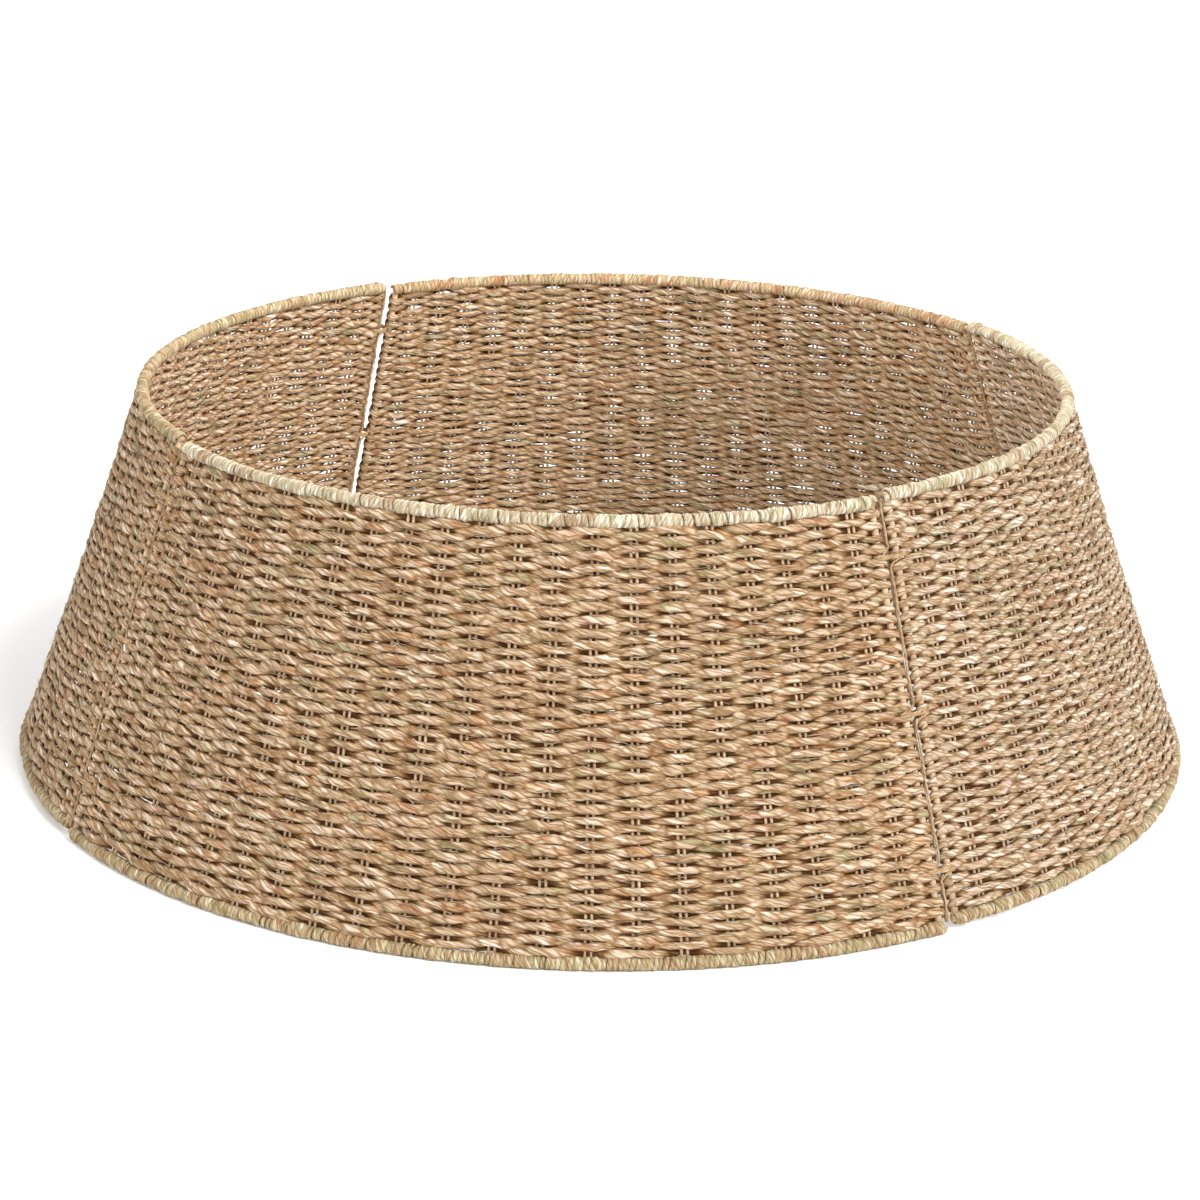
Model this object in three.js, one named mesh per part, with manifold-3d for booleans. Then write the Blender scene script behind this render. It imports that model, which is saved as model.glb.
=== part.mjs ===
// Woven tree collar: curved panels of woven seagrass on welded wire frames, laced together at their edges.
// Millimetres, +Z up. The origin is on the floor under the ring's centre, and the front panel faces -Y.
import * as THREE from "three";
import { mergeVertices } from "three/addons/utils/BufferGeometryUtils.js";
import Module from "manifold-3d";

// Ring
const BOTTOM_WIRE_RADIUS = 352.5;
const TOP_WIRE_RADIUS = 276.5;
const PANEL_HEIGHT = 223.5;
const SIDE_PANEL_LIFT = 2.5;

// Wire frame
const RIM_WIRE_DIAMETER = 4;
const SIDE_WIRE_DIAMETER = 4;
const STAKE_WIDTH = 4.4;
const STAKE_THICKNESS = 1.5;
const STAKE_COUNT = 21;

// Weave and rim bindings
const WEAVE_THICKNESS = 8.4;
const BINDING_WALL = 1.9;
const BINDING_LEG = 3.4;
const WRAP_RIB_DEPTH = 0.4;
const WRAP_RIB_COUNT = 16;
const FOOT_FLAT_DEPTH = 0.8;

// Seams and lacing
const SEAM_WIRE_SPACING = 11.2;
const SEAM_GAP = 2.6;
const TWINE_DIAMETER = 2;
const TIES_PER_SEAM = 3;
const LOOPS_PER_TIE = 2;
const LOOP_PITCH = 2.7;
const TIE_INSET = 30;
const TIE_LEAD = 3;
const NOTCH_MARGIN = 2.4;

// Clearance between neighbouring pieces
const CLEARANCE = 0.3;

// Facets
const WIRE_SIDES = 6;
const TWINE_SIDES = 5;
const HALF_LOOP_POINTS = 5;
const GAP_SAMPLES = 4;
const WELD_TOLERANCE = 1e-4;

// Panels, in order round the ring
const PANELS = [
  { name: "front", lift: 0 },
  { name: "right", lift: SIDE_PANEL_LIFT },
  { name: "back", lift: 0 },
  { name: "left", lift: SIDE_PANEL_LIFT },
];

// Worked out from the sizes above
const PANEL_ANGLE = (2 * Math.PI) / PANELS.length;
const HALF_PANEL = PANEL_ANGLE / 2;
const STAKE_STEP = PANEL_ANGLE / (STAKE_COUNT + 1);
const CHANNEL_HALF = Math.max(RIM_WIRE_DIAMETER, SIDE_WIRE_DIAMETER) / 2 + CLEARANCE;
const BINDING_RADIUS = CHANNEL_HALF + BINDING_WALL;
const BOTTOM_WIRE_HEIGHT = BINDING_RADIUS - FOOT_FLAT_DEPTH;
const TOP_WIRE_HEIGHT = PANEL_HEIGHT - BINDING_RADIUS;
const RISE = TOP_WIRE_HEIGHT - BOTTOM_WIRE_HEIGHT;
const RUN = BOTTOM_WIRE_RADIUS - TOP_WIRE_RADIUS;
const LEAN = Math.atan2(RUN, RISE);
const SLOPE_LENGTH = Math.hypot(RUN, RISE);
const SIDE_WIRE_OFFSET = SEAM_WIRE_SPACING / 2;
const WEAVE_HALF = WEAVE_THICKNESS / 2;
const TWINE_RADIUS = TWINE_DIAMETER / 2;
const LOOP_RADIUS = SIDE_WIRE_DIAMETER / 2 + CLEARANCE + TWINE_RADIUS;

const wasm = await Module();
wasm.setup();

// A point of the wall: x runs along the ring from an azimuth, t out from the wall's middle, w up its slope
function onWall(azimuth, x, t, w) {
  const radius = BOTTOM_WIRE_RADIUS - w * Math.sin(LEAN) + t * Math.cos(LEAN);
  const height = BOTTOM_WIRE_HEIGHT + w * Math.cos(LEAN) + t * Math.sin(LEAN);
  return new THREE.Vector3(
    radius * Math.sin(azimuth) + x * Math.cos(azimuth),
    -radius * Math.cos(azimuth) + x * Math.sin(azimuth),
    height,
  );
}

// How far up the slope a panel's lower wire lies when the panel is lifted
function liftAlongSlope(lift) {
  return lift / Math.cos(LEAN);
}

// Evenly spaced numbers, both ends included
function spaced(from, to, count) {
  return Array.from({ length: count }, (_, i) => from + ((to - from) * i) / (count - 1));
}

// A regular polygon round a centre
function polygon(radius, sides, centre = new THREE.Vector2()) {
  return Array.from({ length: sides }, (_, i) => {
    const angle = (2 * Math.PI * i) / sides;
    return new THREE.Vector2(radius * Math.cos(angle), radius * Math.sin(angle)).add(centre);
  });
}

// A rectangle between two corners
function rectangle(left, bottom, right, top) {
  return [
    new THREE.Vector2(left, bottom),
    new THREE.Vector2(right, bottom),
    new THREE.Vector2(right, top),
    new THREE.Vector2(left, top),
  ];
}

// A closed geometry as a solid that can be joined and cut
function toSolid(geometry) {
  geometry.deleteAttribute("normal");
  geometry.deleteAttribute("uv");
  const merged = mergeVertices(geometry, WELD_TOLERANCE);
  const mesh = new wasm.Mesh({
    numProp: 3,
    vertProperties: merged.attributes.position.array,
    triVerts: new Uint32Array(merged.index.array),
  });
  return new wasm.Manifold(mesh);
}

// A solid back as a geometry
function toGeometry(solid) {
  const mesh = solid.getMesh();
  const geometry = new THREE.BufferGeometry();
  geometry.setAttribute("position", new THREE.BufferAttribute(mesh.vertProperties, 3));
  geometry.setIndex(new THREE.BufferAttribute(mesh.triVerts, 1));
  return geometry;
}

// A full ring turned from a closed section in (t, w), with one facet to each stake
function turnedRing(section) {
  const profile = [...section, section[0]].map((p) => {
    const point = onWall(0, 0, p.x, p.y);
    return new THREE.Vector2(-point.y, point.z);
  });
  const facets = PANELS.length * (STAKE_COUNT + 1);
  const ring = new THREE.LatheGeometry(profile, facets, STAKE_STEP / 2);
  return toSolid(ring.rotateX(Math.PI / 2));
}

// One panel's share of the ring, whose two sides keep a distance from the seams
function panelWedge(distance) {
  const apex = -distance / Math.sin(HALF_PANEL);
  const reach = 2 * BOTTOM_WIRE_RADIUS;
  const across = reach * Math.sin(HALF_PANEL);
  const ahead = apex - reach * Math.cos(HALF_PANEL);
  const corners = [[0, apex], [-across, ahead], [across, ahead]];
  const wedge = new THREE.Shape(corners.map(([x, y]) => new THREE.Vector2(x, y)));
  const depth = 2 * PANEL_HEIGHT;
  const prism = new THREE.ExtrudeGeometry(wedge, { depth, bevelEnabled: false });
  return toSolid(prism.translate(0, 0, -depth / 4));
}

// A straight bar along the wall's slope with its section in (x, t)
function bar(section, azimuth, fromW, toW) {
  const options = { depth: toW - fromW, bevelEnabled: false };
  const prism = new THREE.ExtrudeGeometry(new THREE.Shape(section), options);
  const foot = onWall(azimuth, 0, 0, 0);
  const along = onWall(azimuth, 1, 0, 0).sub(foot);
  const out = onWall(azimuth, 0, 1, 0).sub(foot);
  const down = along.clone().cross(out);
  const place = new THREE.Matrix4().makeBasis(along, out, down).setPosition(onWall(azimuth, 0, 0, toW));
  return toSolid(prism.applyMatrix4(place));
}

// A side wire's section at one end of a panel, or with extra the channel that it runs in
function sideWireSection(end, extra) {
  const flatToCorner = Math.cos(Math.PI / WIRE_SIDES);
  const radius = SIDE_WIRE_DIAMETER / 2 + extra / flatToCorner;
  return polygon(radius, WIRE_SIDES, new THREE.Vector2(-end * SIDE_WIRE_OFFSET, 0));
}

// A stake's section, or with extra the channel that it runs in
function stakeSection(extra) {
  const halfWidth = STAKE_WIDTH / 2 + extra;
  const halfThickness = STAKE_THICKNESS / 2 + extra;
  return rectangle(-halfWidth, -halfThickness, halfWidth, halfThickness);
}

// The upright bars of a panel, from one height up the slope to another: two side wires and the stakes
function uprights(fromW, toW, extra) {
  const sides = [-1, 1].map((end) => bar(sideWireSection(end, extra), end * HALF_PANEL, fromW, toW));
  const lastStake = HALF_PANEL - STAKE_STEP;
  const stakes = spaced(-lastStake, lastStake, STAKE_COUNT).map((azimuth) =>
    bar(stakeSection(extra), azimuth, fromW, toW),
  );
  return [...sides, ...stakes];
}

// The welded frame: two rim wires, two side wires and the upright stakes between the rims
function frameGeometry(base) {
  const top = base + SLOPE_LENGTH;
  const wedge = panelWedge(SIDE_WIRE_OFFSET - SIDE_WIRE_DIAMETER / 2);
  const rims = [base, top].map((w) =>
    turnedRing(polygon(RIM_WIRE_DIAMETER / 2, WIRE_SIDES, new THREE.Vector2(0, w))).intersect(wedge),
  );
  const frame = [...rims, ...uprights(base, top, 0)].reduce((whole, wire) => whole.add(wire));
  return toGeometry(frame);
}

// Heights of the lacing ties up the slope
function tieCentres() {
  return spaced(TIE_INSET, SLOPE_LENGTH - TIE_INSET, TIES_PER_SEAM);
}

// Notches for the ties in the two side edges of a panel
function tieNotches() {
  const depth = SIDE_WIRE_OFFSET + LOOP_RADIUS + TWINE_RADIUS + NOTCH_MARGIN;
  const halfHeight = (LOOPS_PER_TIE * LOOP_PITCH) / 2 + TWINE_RADIUS + TIE_LEAD;
  return [-1, 1].flatMap((end) => {
    const [left, right] = end > 0 ? [-depth, 0] : [0, depth];
    const section = rectangle(left, -WEAVE_THICKNESS, right, WEAVE_THICKNESS);
    return tieCentres().map((w) => bar(section, end * HALF_PANEL, w - halfHeight, w + halfHeight));
  });
}

// The woven sheet: a curved slab with a channel for each upright, notched at its side edges for the ties
function weaveGeometry(base) {
  const from = base + BINDING_LEG + CLEARANCE;
  const to = base + SLOPE_LENGTH - BINDING_LEG - CLEARANCE;
  const slab = turnedRing(rectangle(-WEAVE_HALF, from, WEAVE_HALF, to)).intersect(panelWedge(SEAM_GAP / 2));
  const channels = uprights(from - CHANNEL_HALF, to + CHANNEL_HALF, CLEARANCE);
  const sheet = [slab, ...channels, ...tieNotches()].reduce((rest, cut) => rest.subtract(cut));
  return toGeometry(sheet);
}

// A closed body through rings of points, each ring with the section's points, capped at both ends
function ribbedBody(section, rings) {
  const size = section.length;
  const last = (rings.length - 1) * size;
  const faces = [];
  for (let first = 0; first < last; first += size) {
    for (let i = 0; i < size; i++) {
      const a = first + i;
      const b = first + ((i + 1) % size);
      faces.push(a, b, b + size, a, b + size, a + size);
    }
  }
  const anticlockwise = THREE.ShapeUtils.area(section) > 0;
  for (const [a, b, c] of THREE.ShapeUtils.triangulateShape(section, [])) {
    const turn = THREE.ShapeUtils.area([section[a], section[b], section[c]]) > 0;
    const [p, q] = turn === anticlockwise ? [b, c] : [c, b];
    faces.push(a, q, p, last + a, last + p, last + q);
  }
  const points = rings.flat();
  let volume = 0;
  for (let i = 0; i < faces.length; i += 3) {
    const [a, b, c] = [points[faces[i]], points[faces[i + 1]], points[faces[i + 2]]];
    volume += a.dot(b.clone().cross(c));
  }
  if (volume < 0) faces.reverse();
  const geometry = new THREE.BufferGeometry().setFromPoints(points);
  geometry.setIndex(faces);
  return geometry;
}

// A rim binding: strand wound round a rim wire, as a ribbed sleeve that is open towards the weave.
// towards is +1 where the weave lies up the slope and -1 where it lies down. Its foot is cut flat at floor.
function bindingGeometry(w, towards, floor) {
  const sleeve = (radius) => {
    const shoulder = radius * Math.SQRT1_2;
    return [
      [radius, BINDING_LEG],
      [shoulder, -shoulder],
      [0, -radius],
      [-shoulder, -shoulder],
      [-radius, BINDING_LEG],
      [-CHANNEL_HALF, BINDING_LEG],
      [-CHANNEL_HALF, -CHANNEL_HALF],
      [CHANNEL_HALF, -CHANNEL_HALF],
      [CHANNEL_HALF, BINDING_LEG],
    ].map(([t, leg]) => new THREE.Vector2(t, towards * leg));
  };
  const rimRadius = BOTTOM_WIRE_RADIUS - w * Math.sin(LEAN);
  const end = HALF_PANEL - Math.asin(SIDE_WIRE_OFFSET / rimRadius);
  const rings = spaced(-end, end, 2 * WRAP_RIB_COUNT + 1).map((azimuth, i) => {
    const radius = i % 2 ? BINDING_RADIUS : BINDING_RADIUS - WRAP_RIB_DEPTH;
    return sleeve(radius).map((p) => {
      const point = onWall(azimuth, 0, p.x, w + p.y);
      point.z = Math.max(point.z, floor);
      return point;
    });
  });
  return ribbedBody(sleeve(BINDING_RADIUS), rings);
}

// One unbroken tube of twine through the points, with a section carried along it without twist
function twineGeometry(points) {
  const tangents = points.map((p, i) => {
    const before = points[Math.max(i - 1, 0)];
    const after = points[Math.min(i + 1, points.length - 1)];
    return after.clone().sub(before).normalize();
  });
  let normal = new THREE.Vector3(0, 0, 1).cross(tangents[0]).normalize();
  const section = polygon(TWINE_RADIUS, TWINE_SIDES);
  const rings = points.map((p, i) => {
    normal = normal.clone().addScaledVector(tangents[i], -normal.dot(tangents[i])).normalize();
    const side = tangents[i].clone().cross(normal);
    return section.map((q) => p.clone().addScaledVector(normal, q.x).addScaledVector(side, q.y));
  });
  return ribbedBody(section, rings);
}

// The lacing's path up a seam: at each tie it loops round the holder's side wire and a reach beyond it,
// and between ties it runs up over the holder's side wire. holder is -1 or +1 along the ring.
function lacingPath(holder, reach) {
  const near = holder * SIDE_WIRE_OFFSET;
  const far = near - holder * reach;
  const overWeave = WEAVE_HALF + CLEARANCE + TWINE_RADIUS;
  const tieHeight = LOOPS_PER_TIE * LOOP_PITCH;
  const halfTurn = spaced(Math.PI / 2, -Math.PI / 2, HALF_LOOP_POINTS).map((angle) => [
    holder * LOOP_RADIUS * Math.cos(angle),
    LOOP_RADIUS * Math.sin(angle),
  ]);
  const loop = [
    ...halfTurn.map(([x, t]) => [far - x, t]),
    ...halfTurn.map(([x, t]) => [near + x, -t]),
  ];
  const turns = Array.from({ length: LOOPS_PER_TIE }, () => loop).flat();
  const path = tieCentres().flatMap((centre) => {
    const start = centre - tieHeight / 2;
    const finish = start + tieHeight;
    return [
      [near, overWeave, start - TIE_LEAD - TWINE_DIAMETER],
      [near, overWeave, start - TIE_LEAD],
      ...turns.map(([x, t], i) => [x, t, start + (tieHeight * i) / (turns.length - 1)]),
      [near, overWeave, finish + TIE_LEAD],
      [near, overWeave, finish + TIE_LEAD + TWINE_DIAMETER],
    ];
  });
  return path.map(([x, t, w]) => onWall(HALF_PANEL, x, t, w));
}

// The least gap of a twine to itself, between stretches more than half a loop apart along it
function leastSelfGap(points) {
  const samples = [];
  let run = 0;
  for (let i = 1; i < points.length; i++) {
    const length = points[i].distanceTo(points[i - 1]);
    for (let k = 0; k < GAP_SAMPLES; k++) {
      const share = k / GAP_SAMPLES;
      samples.push({ at: run + length * share, p: points[i - 1].clone().lerp(points[i], share) });
    }
    run += length;
  }
  let least = Infinity;
  samples.forEach((a, i) => {
    for (const b of samples.slice(i + 1)) {
      if (b.at - a.at > Math.PI * LOOP_RADIUS) least = Math.min(least, a.p.distanceTo(b.p));
    }
  });
  return least - TWINE_DIAMETER;
}

// A named mesh with its own material
function piece(name, geometry, color, roughness, metalness) {
  geometry.computeVertexNormals();
  const mesh = new THREE.Mesh(geometry, new THREE.MeshStandardMaterial({ color, roughness, metalness }));
  mesh.name = name;
  return mesh;
}

const collar = new THREE.Group();

// Four panels, each turned a quarter further round the ring
PANELS.forEach(({ name, lift }, quarter) => {
  const base = liftAlongSlope(lift);
  const top = base + SLOPE_LENGTH;
  const panel = new THREE.Group();
  panel.rotation.z = quarter * PANEL_ANGLE;
  panel.add(piece(`${name}_frame`, frameGeometry(base), 0x9a8a6c, 0.55, 0.6));
  panel.add(piece(`${name}_weave`, weaveGeometry(base), 0xb4946f, 0.8, 0));
  panel.add(piece(`${name}_bottom_binding`, bindingGeometry(base, 1, lift), 0xc8b48c, 0.75, 0));
  panel.add(piece(`${name}_top_binding`, bindingGeometry(top, -1, lift), 0xd4c5ac, 0.75, 0));
  collar.add(panel);
});

// Three laced hinges, and the closing loops at the seam where the ring opens.
// The closing loops stop short of the neighbour's side wire, so that the panels can part.
const CLOSING_REACH = SEAM_WIRE_SPACING - SIDE_WIRE_DIAMETER / 2 - CLEARANCE - LOOP_RADIUS - TWINE_RADIUS;
const SEAMS = [
  { name: "front_right_lacing", quarter: 0, holder: -1, reach: SEAM_WIRE_SPACING },
  { name: "back_right_lacing", quarter: 1, holder: -1, reach: SEAM_WIRE_SPACING },
  { name: "back_left_closing_loops", quarter: 2, holder: 1, reach: CLOSING_REACH },
  { name: "front_left_lacing", quarter: 3, holder: 1, reach: SEAM_WIRE_SPACING },
];
for (const { name, quarter, holder, reach } of SEAMS) {
  const path = lacingPath(holder, reach);
  console.log(`${name}: least gap between turns ${leastSelfGap(path).toFixed(2)} mm`);
  const lacing = piece(name, twineGeometry(path), 0xd8c49c, 0.8, 0);
  lacing.rotation.z = quarter * PANEL_ANGLE;
  collar.add(lacing);
}

export default collar;
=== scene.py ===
import math

import bpy
import numpy as np
from mathutils import Matrix, Vector


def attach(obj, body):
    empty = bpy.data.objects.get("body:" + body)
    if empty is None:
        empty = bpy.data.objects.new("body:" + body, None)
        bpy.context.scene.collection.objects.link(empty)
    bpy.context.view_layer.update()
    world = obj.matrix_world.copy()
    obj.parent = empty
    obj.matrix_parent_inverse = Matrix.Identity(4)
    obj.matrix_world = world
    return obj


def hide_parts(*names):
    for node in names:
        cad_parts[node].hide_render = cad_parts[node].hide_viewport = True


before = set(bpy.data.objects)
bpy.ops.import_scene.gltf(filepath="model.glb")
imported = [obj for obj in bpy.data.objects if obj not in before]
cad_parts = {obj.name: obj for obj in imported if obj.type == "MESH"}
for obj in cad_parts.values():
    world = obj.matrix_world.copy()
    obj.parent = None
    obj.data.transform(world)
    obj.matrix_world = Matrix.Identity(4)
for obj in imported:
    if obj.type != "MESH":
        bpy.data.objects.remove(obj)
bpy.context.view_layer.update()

# Wire frames.
# Each panel hangs on a frame of tan lacquered steel wire: a stout wire along both rims and both sides, and
# pairs of thin wires as stakes, all spot-welded where they meet before any weaving. Sizes in millimetres.
MILLIMETRE = 0.001
QUARTER = math.pi / 2
BOTTOM_RADIUS, TOP_RADIUS = 352.5, 276.5
BOTTOM_HEIGHT, TOP_HEIGHT = 3.4, 219.3
LEAN = math.atan2(BOTTOM_RADIUS - TOP_RADIUS, TOP_HEIGHT - BOTTOM_HEIGHT)
SLOPE = math.hypot(BOTTOM_RADIUS - TOP_RADIUS, TOP_HEIGHT - BOTTOM_HEIGHT)
SIDE_LIFT = 2.5 / math.cos(LEAN)
# Each panel's place in quarter turns round the ring, and how far up the slope its lower rim is lifted.
PANELS = {"front": (0, 0.0), "right": (1, SIDE_LIFT), "back": (2, 0.0), "left": (3, SIDE_LIFT)}
BAYS = 22
BAY = QUARTER / BAYS
HOLLOW = 1.9
SIDE_WIRE_INSET = 5.6
STOUT_WIRE, THIN_WIRE, PAIR_SPREAD = 2.0, 0.85, 1.6
STOUT_SIDES, THIN_SIDES = 8, 6
RIM_RINGS, UPRIGHT_RINGS = 89, 9
WIRE_TONES = [(0.3, (0.34, 0.22, 0.12)), (0.65, (0.60, 0.42, 0.27))]
WIRE_ROUGHNESS = (0.55, 0.85)
DUST_SCALE, DUST_DETAIL = 160, 4
MATT_SPECULAR = 0.1


def on_wall(azimuth, x, t, w):
    """Points of the conical wall in metres: x along the ring from azimuth, t out of the wall, w up its slope.
    Half way up, the pull of the rows has drawn each panel's middle in by HOLLOW, falling off with a sine up
    the wall and a squared cosine along it, so that the stiff side wires stay straight."""
    t = t - HOLLOW * np.sin(math.pi * np.clip(w / SLOPE, 0, 1)) * np.cos(2 * azimuth) ** 2
    radius = BOTTOM_RADIUS - w * math.sin(LEAN) + t * math.cos(LEAN)
    height = BOTTOM_HEIGHT + w * math.cos(LEAN) + t * math.sin(LEAN)
    across = radius * np.sin(azimuth) + x * np.cos(azimuth)
    along = -radius * np.cos(azimuth) + x * np.sin(azimuth)
    return np.stack(np.broadcast_arrays(across, along, height), axis=-1) * MILLIMETRE


def side_azimuth(inset, w):
    """How far from a panel's middle a line at a constant inset from the seam runs, at height w up the slope:
    an eighth of a turn less the angle whose sine is the inset over the radius there."""
    return QUARTER / 2 - np.arcsin(inset / (BOTTOM_RADIUS - w * math.sin(LEAN)))


def strand_mesh(name, groups, seed):
    """Skins tubes with quads. Each group is (grid, looped, openness): grid is tubes x rings x sides x 3, its
    sides run round the tube, and a looped tube's last ring joins its first. Open tubes get a flat cap at both
    ends. The UV map holds the share of the way round and the metres along, the attribute lot one random
    number a tube, and a third attribute how openly each point lies, from 0 deep down to 1 outside, by which
    the strand finish paints shade into the colour."""
    points, corners, starts, uvs, lots, painted_lit_shares = [], [], [], [], [], []
    n_points = n_corners = 0
    dice = np.random.default_rng(seed)
    for grid, looped, painted_lit_share in groups:
        tubes, rings, sides, _ = grid.shape
        if looped:
            grid = np.concatenate([grid, grid[:, :1]], axis=1)
        centre = grid.mean(axis=2)
        steps = np.linalg.norm(np.diff(centre, axis=1), axis=-1)
        along = np.concatenate([np.zeros((tubes, 1)), np.cumsum(steps, axis=1)], axis=1)
        index = np.arange(tubes * rings * sides).reshape(tubes, rings, sides) + n_points
        if looped:
            index = np.concatenate([index, index[:, :1]], axis=1)
        a, b = index[:, :-1], index[:, 1:]
        quads = np.stack([a, np.roll(a, -1, 2), np.roll(b, -1, 2), b], axis=-1)
        first = grid[0, :2, :2].reshape(4, 3)
        facing = np.cross(first[1] - first[0], first[2] - first[0]) @ (first[0] - centre[0, 0])
        u = np.broadcast_to(np.arange(sides) / sides, a.shape)
        v0 = np.broadcast_to(along[:, :-1, None], a.shape)
        v1 = np.broadcast_to(along[:, 1:, None], a.shape)
        quad_uv = np.stack([
            np.stack([u, v0], -1), np.stack([u + 1 / sides, v0], -1),
            np.stack([u + 1 / sides, v1], -1), np.stack([u, v1], -1)], axis=-2)
        if facing < 0:
            quads, quad_uv = quads[..., ::-1], quad_uv[..., ::-1, :]
        corners.append(quads.reshape(-1))
        uvs.append(quad_uv.reshape(-1, 2))
        starts.append(n_corners + 4 * np.arange(quads.size // 4))
        n_corners += quads.size
        if not looped:
            ends = np.concatenate([index[:, 0, ::-1], index[:, -1]])
            if facing < 0:
                ends = ends[:, ::-1]
            corners.append(ends.reshape(-1))
            uvs.append(np.zeros((ends.size, 2)))
            starts.append(n_corners + sides * np.arange(len(ends)))
            n_corners += ends.size
        points.append(grid[:, :rings].reshape(-1, 3))
        lots.append(np.repeat(dice.random(tubes), rings * sides))
        painted_lit_shares.append(np.broadcast_to(painted_lit_share, (tubes, rings, sides)).reshape(-1))
        n_points += tubes * rings * sides
    mesh = bpy.data.meshes.new(name)
    mesh.vertices.add(n_points)
    mesh.loops.add(n_corners)
    starts = np.concatenate(starts)
    mesh.polygons.add(len(starts))
    mesh.vertices.foreach_set("co", np.concatenate(points).astype(np.float32).ravel())
    mesh.loops.foreach_set("vertex_index", np.concatenate(corners).astype(np.int32))
    mesh.polygons.foreach_set("loop_start", starts.astype(np.int32))
    mesh.polygons.foreach_set("use_smooth", np.ones(len(starts), bool))
    uv_map = mesh.uv_layers.new(name="strand")
    uv_map.data.foreach_set("uv", np.concatenate(uvs).astype(np.float32).ravel())
    # The third attribute carries painted shade: at 0 the colour is painted darkest, at 1 it is left as it is.
    for attribute, values in (("lot", lots), ("painted_lit_share", painted_lit_shares)):
        values = np.concatenate(values).astype(np.float32)
        mesh.attributes.new(attribute, "FLOAT", "POINT").data.foreach_set("value", values)
    mesh.update()
    mesh.validate()
    return mesh


def put(name, mesh, material, body, slot, *nodes):
    """Puts a finished mesh on its body, with its material, in place of the solids that it stands for."""
    piece = bpy.data.objects.new(name, mesh)
    bpy.context.collection.objects.link(piece)
    mesh.materials.append(material)
    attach(piece, body)
    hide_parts(*nodes)


def once_round(sides):
    """The angles of a closed section's points: a full turn in as many equal steps as it has sides."""
    return 2 * math.pi * np.arange(sides) / sides


def wire_section(radius, sides):
    """The two offsets of the points round a wire: its radius times the cosine and the sine of each angle."""
    return radius * np.cos(once_round(sides)), radius * np.sin(once_round(sides))


def wire_frame(quarter, base):
    """The tubes of one frame: rims as circles round the wall, sides and stakes as lines up its slope."""
    middle = quarter * QUARTER
    levels = np.array([base, base + SLOPE])
    end = side_azimuth(SIDE_WIRE_INSET - STOUT_WIRE, levels)
    rim_azimuth = middle + np.linspace(-1, 1, RIM_RINGS)[None, :, None] * end[:, None, None]
    out, up = wire_section(STOUT_WIRE, STOUT_SIDES)
    rims = on_wall(rim_azimuth, 0.0, out, levels[:, None, None] + up)
    rise = np.linspace(base, base + SLOPE, UPRIGHT_RINGS)[None, :, None]
    across, out = wire_section(STOUT_WIRE, STOUT_SIDES)
    ends = np.array([-1.0, 1.0])[:, None, None]
    sides = on_wall(middle + ends * QUARTER / 2, across - ends * SIDE_WIRE_INSET, out, rise)
    across, out = wire_section(THIN_WIRE, THIN_SIDES)
    stakes = np.repeat(middle - QUARTER / 2 + BAY * np.arange(1, BAYS), 2)[:, None, None]
    pair = np.tile([-PAIR_SPREAD, PAIR_SPREAD], BAYS - 1)[:, None, None]
    thin = on_wall(stakes, across + pair, out, rise)
    return [(rims, False, 1.0), (sides, False, 1.0), (thin, False, 1.0)]


def matt_finish(name):
    """A new material with little gloss, its node tree and its shader."""
    material = bpy.data.materials.new(name)
    material.use_nodes = True
    shader = material.node_tree.nodes["Principled BSDF"]
    shader.inputs["Specular IOR Level"].default_value = MATT_SPECULAR
    return material, material.node_tree, shader


def noise(tree, vector, scale, detail):
    """Smooth random values from 0 to 1 over vector: scale swells to a unit, with detail finer layers."""
    node = tree.nodes.new("ShaderNodeTexNoise")
    node.inputs["Scale"].default_value = scale
    node.inputs["Detail"].default_value = detail
    tree.links.new(vector, node.inputs["Vector"])
    return node.outputs["Fac"]


def remap(tree, value, low, high, to_low, to_high):
    """Carries low..high to to_low..to_high in a straight line, held at both ends."""
    node = tree.nodes.new("ShaderNodeMapRange")
    for socket, number in (("From Min", low), ("From Max", high), ("To Min", to_low), ("To Max", to_high)):
        node.inputs[socket].default_value = number
    tree.links.new(value, node.inputs["Value"])
    return node.outputs["Result"]


def toned(tree, value, stops):
    """A colour for each value, mixed in straight lines between stops of (value, colour)."""
    node = tree.nodes.new("ShaderNodeValToRGB")
    elements = node.color_ramp.elements
    elements.remove(elements[1])
    for i, (position, colour) in enumerate(stops):
        stop = elements[0] if i == 0 else elements.new(position)
        stop.position, stop.color = position, (*colour, 1)
    tree.links.new(value, node.inputs["Fac"])
    return node.outputs["Color"]


def lacquered_wire():
    """Tan lacquer over steel: smooth random dust and rust, which make it duller and darker where they sit."""
    material, tree, shader = matt_finish("tan_lacquered_wire")
    place = tree.nodes.new("ShaderNodeTexCoord")
    dust = noise(tree, place.outputs["Object"], DUST_SCALE, DUST_DETAIL)
    tree.links.new(toned(tree, dust, WIRE_TONES), shader.inputs["Base Color"])
    tree.links.new(remap(tree, dust, 0.0, 1.0, *WIRE_ROUGHNESS), shader.inputs["Roughness"])
    return material


wire_finish = lacquered_wire()
for panel, (quarter, base) in PANELS.items():
    name = f"{panel}_wire_frame"
    mesh = strand_mesh(name, wire_frame(quarter, base), quarter)
    put(name, mesh, wire_finish, f"{panel}_panel", "frame_wire", f"{panel}_frame")

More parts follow.
